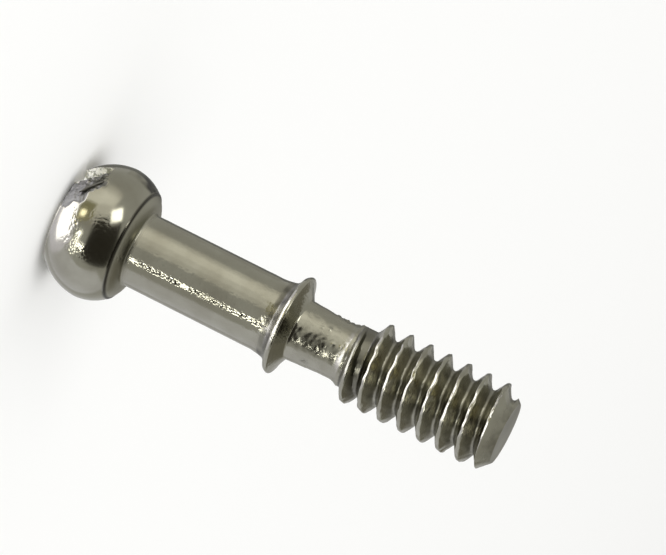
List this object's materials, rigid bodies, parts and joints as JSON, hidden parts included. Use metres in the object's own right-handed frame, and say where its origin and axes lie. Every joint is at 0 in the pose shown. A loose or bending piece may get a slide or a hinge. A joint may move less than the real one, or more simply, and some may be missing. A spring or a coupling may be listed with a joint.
{
  "type": "connector screw",
  "caption": "Slotted captive screw with a barrel head, a smooth shank, a thin retaining collar, a reduced neck and a short right-hand rolled thread; it fastens an electrical connector.",
  "frame": {"origin": "middle of the head's flat top, which the screw stands on", "axes": "+Z along the screw's axis from the head to the threaded tip; the driver slot runs along Y"},
  "size_m": [0.0042, 0.0042, 0.0145],
  "materials": {
    "nickel_plated_steel": "bright nickel plate over cold-formed steel, smooth with fine pits on the neck"
  },
  "bodies": {
    "root": {"connector_screw": "nickel_plated_steel"}
  },
  "joints": []
}
